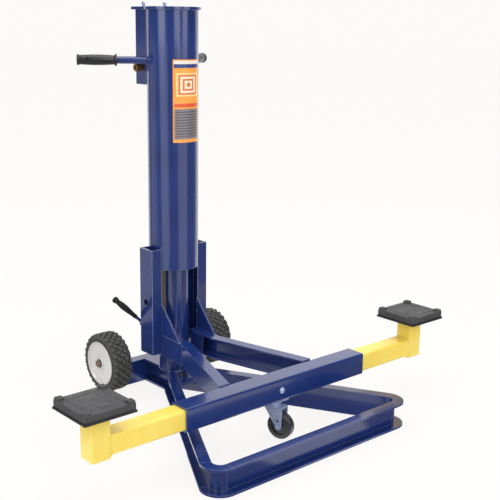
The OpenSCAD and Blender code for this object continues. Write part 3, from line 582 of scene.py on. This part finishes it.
def beam_bolt():
    """A round-headed bolt in the front of the beam."""
    low, high = [Vector(c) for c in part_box("beam_bolt")]
    mid = (low + high) / 2
    face = low.y + BOLT_HEAD
    head = [(0.0, 0.0069), (0.004, 0.0066), (0.0075, 0.0054), (0.0098, 0.0034), (0.0109, 0.0012),
            (0.0109, 0.0001)]
    shank = [(0.006, 0.0001), (0.006, -0.038), (0.0, -0.038)]
    bm = bmesh.new()
    lathe(bm, head + shank, turn_to((mid.x, face, mid.z), (0, -1, 0)), 48)
    swap(add_piece("beam_button_bolt", bm, ZINC, "carriage"), "beam_bolt")


def label_sheet():
    """The printed label, a thin curved sheet on the mast."""
    low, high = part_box("label_plate")
    bm = bmesh.new()
    cols, rows = 48, 12
    half = LABEL_HALF_ANGLE
    r0, r1 = MAST_R + 0.00012, MAST_R + 0.00055
    grid = {}
    for layer, r in enumerate((r0, r1)):
        for i in range(cols + 1):
            a = -half + 2 * half * i / cols
            for j in range(rows + 1):
                z = low[2] + (high[2] - low[2]) * j / rows
                grid[layer, i, j] = bm.verts.new((MAST.x + r * math.sin(a), MAST.y - r * math.cos(a), z))
    for layer in (0, 1):
        for i in range(cols):
            for j in range(rows):
                bm.faces.new([grid[layer, i + a, j + b] for a, b in ((0, 0), (1, 0), (1, 1), (0, 1))])
    for i in range(cols):
        for j in (0, rows):
            bm.faces.new([grid[0, i, j], grid[0, i + 1, j], grid[1, i + 1, j], grid[1, i, j]])
    for j in range(rows):
        for i in (0, cols):
            bm.faces.new([grid[0, i, j], grid[0, i, j + 1], grid[1, i, j + 1], grid[1, i, j]])
    swap(add_piece("printed_label", bm, LABEL, "carriage"), "label_plate")


# ---------------------------------------------------------------- weld beads

def bead(name, points, radius, body, mat=None, closed=False):
    """A weld bead: a rippled round ridge along a line of points."""
    pts = [Vector(p) for p in points]
    path = []
    step = 0.0022
    pairs = list(zip(pts, pts[1:])) + ([(pts[-1], pts[0])] if closed else [])
    for a, b in pairs:
        n = max(1, int((b - a).length / step))
        path += [a.lerp(b, k / n) for k in range(n)]
    if not closed:
        path.append(pts[-1])
    sides = 8
    bm = bmesh.new()
    rings = []
    count = len(path)
    for i, p in enumerate(path):
        if closed:
            d = path[(i + 1) % count] - path[i - 1]
        else:
            d = path[min(i + 1, count - 1)] - path[max(i - 1, 0)]
        place = turn_to(p, d)
        ripple = 1.0 + 0.13 * math.sin(i * 1.9) + random.uniform(-0.07, 0.07)
        if not closed and i in (0, count - 1):
            ripple = 0.45
        rings.append([bm.verts.new(place @ q) for q in ring_points(radius * ripple, 0, sides)])
    joins = list(zip(rings, rings[1:])) + ([(rings[-1], rings[0])] if closed else [])
    for a, b in joins:
        for k in range(sides):
            n = (k + 1) % sides
            bm.faces.new((a[k], a[n], b[n], b[k]))
    if not closed:
        bm.faces.new(rings[0])
        bm.faces.new(list(reversed(rings[-1])))
    add_piece(name, bm, mat or NAVY, body)


def arc(z, r, a0, a1, n):
    """Points on a level arc about the mast's axis, angles in degrees."""
    angles = [math.radians(a0 + (a1 - a0) * k / n) for k in range(n + 1)]
    return [(MAST.x + r * math.cos(a), MAST.y + r * math.sin(a), z) for a in angles]


def channel_welds(side, sgn):
    """Upright beads where a side channel meets the mast and where its gusset stands on it."""
    low, high = [Vector(c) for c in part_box(f"channel_{side}")]
    inner = high.x if sgn < 0 else low.x
    for k, y in enumerate((low.y, high.y)):
        line = [(inner, y, MAST_LOW.z + 0.004), (inner, y, high.z - 0.003)]
        bead(f"weld_channel_{side}_{k}", line, 0.0022, "carriage")
    g_low, g_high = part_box("gussets")
    line = [(sgn * GUSSET_X, low.y, g_low[2] + 0.010), (sgn * GUSSET_X, low.y, g_high[2] - 0.006)]
    bead(f"weld_gusset_{side}", line, 0.0024, "carriage")


def arm_weld(side, sgn):
    """The bead round an arm's tube where it meets its post."""
    x = sgn * (PAD_X - ARM_HALF)
    a_low, a_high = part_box(f"arm_{side}")
    b_low, b_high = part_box("beam")
    y0, y1 = a_low[1] + 0.004, a_high[1] - 0.004
    z1 = (b_low[2] + b_high[2]) / 2 + ARM_HALF
    z0 = z1 - 2 * ARM_HALF
    out, corner = 0.0035, 0.005
    loop = [(x, y0, z0), (x, y0 - out, z0 + corner), (x, y0 - out, z1 - corner), (x, y0, z1),
            (x, y1, z1), (x, y1 + out, z1 - corner), (x, y1 + out, z0 + corner), (x, y1, z0)]
    bead(f"weld_arm_{side}", loop, 0.0026, f"arm_{side}", YELLOW, True)


def handle_weld(side, sgn):
    """The bead round a handle bar where it meets the mast."""
    bar = Vector((sgn * math.cos(HANDLE_SWEEP), math.sin(HANDLE_SWEEP), 0))
    place = turn_to(MAST + Vector((0, 0, centre(f"handle_{side}").z)) + bar * (MAST_R + 0.0016), bar)
    ring = [place @ p for p in ring_points(0.0132, -0.0006, 24)]
    bead(f"weld_handle_{side}", ring, 0.0024, "carriage", None, True)


def fork_welds(side, sgn):
    """Beads where a fork meets the beam, and down the mitre at its bend."""
    b_high = Vector(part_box("beam")[1])
    f_high = Vector(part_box(f"fork_{side}")[1])
    x_out, x_in = sgn * FORK_END_OUT, sgn * FORK_END_IN
    x, y = x_out + sgn * 0.001, b_high.y + 0.001
    line = [(x, y, b_high.z - 0.066), (x, y, b_high.z - 0.002)]
    bead(f"weld_fork_beam_{side}", line, 0.0026, "carriage")
    y, z = b_high.y - 0.0005, b_high.z + 0.0012
    bead(f"weld_fork_top_{side}", [(x_out, y, z), (x_in, y, z)], 0.0026, "carriage")
    x, y = sgn * FORK_BEND_X, MAST.y - FORK_BEND_Y
    line = [(x, y, f_high.z - 0.082), (x, y, f_high.z - 0.009)]
    bead(f"weld_fork_bend_{side}", line, 0.0018, "carriage")


def mast_welds():
    """Beads at the ram's foot, under the cap and along the rear box."""
    ram_low, ram_high = [Vector(c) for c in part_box("ram_tube")]
    ram_r = (ram_high.x - ram_low.x) / 2
    bead("weld_ram", arc(ram_low.z + 0.0004, ram_r + 0.0004, 0, 345, 72), 0.0022, "base", None, True)
    cap_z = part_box("cap_plate")[0][2]
    bead("weld_cap", arc(cap_z - 0.0004, MAST_R + 0.0006, 208, 332, 48), 0.0020, "carriage")
    box_low, box_high = [Vector(c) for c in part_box("rear_box")]
    y = MAST.y + BOX_WELD_Y
    for k, x in enumerate((box_low.x, box_high.x)):
        line = [(x, y, box_low.z + 0.003), (x, y, box_high.z - 0.003)]
        bead(f"weld_rear_box_{k}", line, 0.0019, "carriage")


def welds():
    """Beads at the joints that show."""
    for side, sgn in (("left", -1), ("right", 1)):
        channel_welds(side, sgn)
        arm_weld(side, sgn)
        handle_weld(side, sgn)
        fork_welds(side, sgn)
    mast_welds()


# ---------------------------------------------------------------- stage, light and camera

TO_CAMERA = Vector((-0.663, -0.749, 0))
TO_RIGHT = Vector((0.749, -0.663, 0))
CARD_SOFT = 2
FLOOR_GLOW = 0.858
SKY_GLOW = 0.975
FLOOR_CARDS = ((-112, -74, 0.45), (-54, -18, 1.05), (26, 72, 0.95), (130, 190, 1.0), (-190, -130, 1.0))
SKY_CARDS = ((-60, -28, 3.2), (13, 38, 3.0), (50, 74, 2.6), (125, 190, 1.0), (-190, -125, 1.0))


def card_light(t, vector, cards, dark):
    """Brightness of soft vertical cards by their bearing from the camera's side, in degrees."""
    def node(kind, **values):
        n = t.nodes.new(kind)
        for key, v in values.items():
            setattr(n, key, v)
        return n

    def dot(axis):
        n = node("ShaderNodeVectorMath", operation="DOT_PRODUCT")
        t.links.new(vector, n.inputs[0])
        n.inputs[1].default_value = axis
        return n.outputs["Value"]

    turn = node("ShaderNodeMath", operation="ARCTAN2")
    t.links.new(dot(TO_RIGHT), turn.inputs[0])
    t.links.new(dot(TO_CAMERA), turn.inputs[1])
    total = None
    for a, b, strength in cards:
        edges = []
        for at, low, high in ((a, 0.0, 1.0), (b, 1.0, 0.0)):
            n = node("ShaderNodeMapRange", clamp=True, interpolation_type="SMOOTHSTEP")
            t.links.new(turn.outputs["Value"], n.inputs["Value"])
            start, stop = math.radians(at - CARD_SOFT), math.radians(at + CARD_SOFT)
            for key, v in (("From Min", start), ("From Max", stop), ("To Min", low), ("To Max", high)):
                n.inputs[key].default_value = v
            edges.append(n.outputs["Result"])
        both = node("ShaderNodeMath", operation="MULTIPLY")
        t.links.new(edges[0], both.inputs[0])
        t.links.new(edges[1], both.inputs[1])
        add = node("ShaderNodeMath", operation="MULTIPLY_ADD")
        t.links.new(both.outputs["Value"], add.inputs[0])
        add.inputs[1].default_value = strength
        if total is None:
            add.inputs[2].default_value = dark
        else:
            t.links.new(total, add.inputs[2])
        total = add.outputs["Value"]
    return total


def for_glossy(t, plain, glossy):
    """plain, but glossy where a shiny surface looks."""
    path = t.nodes.new("ShaderNodeLightPath")
    n = t.nodes.new("ShaderNodeMix")
    n.data_type = "FLOAT"
    t.links.new(path.outputs["Is Glossy Ray"], n.inputs[0])
    n.inputs[2].default_value = plain
    t.links.new(glossy, n.inputs[3])
    return n.outputs[0]


def stage_floor():
    """A plain pale floor."""
    bm = bmesh.new()
    half, drop = 60.0, 0.0004
    corners = ((-half, -half), (half, -half), (half, half), (-half, half))
    bm.faces.new([bm.verts.new((x, y, -drop)) for x, y in corners])
    me = bpy.data.meshes.new("studio_floor")
    bm.to_mesh(me)
    bm.free()
    ob = bpy.data.objects.new("studio_floor", me)
    bpy.context.scene.collection.objects.link(ob)
    m = bpy.data.materials.new("pale_floor")
    m.use_nodes = True
    t = m.node_tree
    b = t.nodes["Principled BSDF"]
    b.inputs["Base Color"].default_value = (0.12, 0.119, 0.117, 1)
    b.inputs["Roughness"].default_value = 0.9
    b.inputs["Specular IOR Level"].default_value = 0.0
    b.inputs["Emission Color"].default_value = (1.0, 0.985, 0.965, 1)
    coord = t.nodes.new("ShaderNodeTexCoord")
    seen = card_light(t, coord.outputs["Object"], FLOOR_CARDS, 0.10)
    t.links.new(for_glossy(t, FLOOR_GLOW, seen), b.inputs["Emission Strength"])
    me.materials.append(m)


def area_light(name, where, aim, size, power):
    data = bpy.data.lights.new(name, "AREA")
    data.shape = "RECTANGLE"
    data.size, data.size_y = size
    data.energy = power
    ob = bpy.data.objects.new(name, data)
    ob.location = where
    ob.rotation_euler = (Vector(aim) - Vector(where)).to_track_quat("-Z", "Y").to_euler()
    bpy.context.scene.collection.objects.link(ob)


def light_room():
    """A pale studio with soft upright cards for the enamel to reflect."""
    world = bpy.data.worlds.new("studio")
    bpy.context.scene.world = world
    world.use_nodes = True
    t = world.node_tree
    back = t.nodes["Background"]
    back.inputs["Color"].default_value = (1.0, 0.985, 0.965, 1)
    coord = t.nodes.new("ShaderNodeTexCoord")
    seen = card_light(t, coord.outputs["Generated"], SKY_CARDS, 0.06)
    t.links.new(for_glossy(t, SKY_GLOW, seen), back.inputs["Strength"])
    target = (0, 0.1, 0.6)
    area_light("key", (-1.6, -4.2, 3.4), target, (2.0, 1.6), 30)
    area_light("side", (-3.6, 0.5, 3.0), target, (1.6, 1.6), 20)
    area_light("top", (0.2, -0.2, 4.2), (0, 0, 0), (3.0, 3.0), 60)


def camera():
    """The camera at the picture's viewing angle."""
    data = bpy.data.cameras.new("view")
    data.sensor_width = 36.0
    data.lens = 67.69
    ob = bpy.data.objects.new("view", data)
    bpy.context.scene.collection.objects.link(ob)
    bpy.context.scene.camera = ob
    yaw, pitch, roll = [math.radians(v) for v in (-41.5126, 13.4137, 0.801)]
    fwd = Vector((-math.sin(yaw) * math.cos(pitch), math.cos(yaw) * math.cos(pitch), -math.sin(pitch)))
    right = Vector((math.cos(yaw), math.sin(yaw), 0))
    up = right.cross(fwd)
    r2 = right * math.cos(roll) + up * math.sin(roll)
    u2 = up * math.cos(roll) - right * math.sin(roll)
    rot = Matrix((r2, u2, -fwd)).transposed().to_4x4()
    place = Vector((-1.9711, MAST.y - 2.6410, 1.3162))
    ob.matrix_world = Matrix.Translation(place) @ rot
    data.clip_start, data.clip_end = 0.05, 200


camera()
bpy.context.scene.view_settings.view_transform = "Standard"
stage_floor()
light_room()
finish_frame()
for which in ("left", "right"):
    tyre(which)
    wheel_disc(which)
    pad(which)
    handle_grip(which)
lever_parts()
beam_bolt()
label_sheet()
welds()
